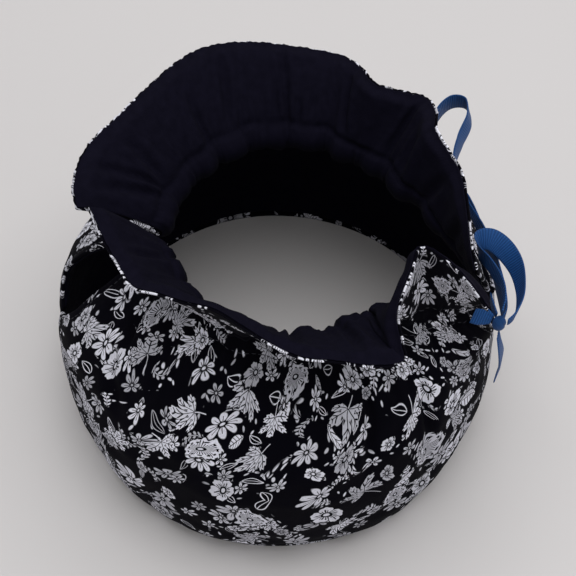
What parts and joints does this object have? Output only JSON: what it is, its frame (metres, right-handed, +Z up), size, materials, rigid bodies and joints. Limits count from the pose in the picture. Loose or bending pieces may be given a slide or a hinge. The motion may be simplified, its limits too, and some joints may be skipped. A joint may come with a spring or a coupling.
{
  "type": "tea cosy",
  "caption": "Padded cotton tea cosy in a dark floral print, open at base and sides for a teapot's spout and handle, its flared navy-lined collar gathered by a blue ribbon bow",
  "frame": {"origin": "under the middle of the cosy's bounding box, on the level of its hem", "axes": "+Z up; +X to the handle side, where the bow is tied; -X to the spout side; -Y to the front"},
  "size_m": [0.2096, 0.2063, 0.1595],
  "materials": {
    "printed_cotton_front": "matte printed cotton",
    "printed_cotton_back": "matte printed cotton",
    "navy_cotton_front": "matte plain cotton",
    "navy_cotton_back": "matte plain cotton",
    "grosgrain_tie_front": "ribbed ribbon",
    "grosgrain_tie_back": "ribbed ribbon",
    "grosgrain_bow_knot": "ribbed ribbon",
    "grosgrain_bow_loop_side": "ribbed ribbon",
    "grosgrain_bow_loop_back": "ribbed ribbon",
    "grosgrain_bow_tail": "ribbed ribbon"
  },
  "bodies": {
    "root": {"outer_front": "printed_cotton_front", "outer_back": "printed_cotton_back", "lining_front": "navy_cotton_front", "lining_back": "navy_cotton_back", "tie_front": "grosgrain_tie_front", "tie_back": "grosgrain_tie_back", "bow_knot": "grosgrain_bow_knot", "bow_loop_side": "grosgrain_bow_loop_side", "bow_loop_back": "grosgrain_bow_loop_back", "bow_tail": "grosgrain_bow_tail"}
  },
  "joints": []
}
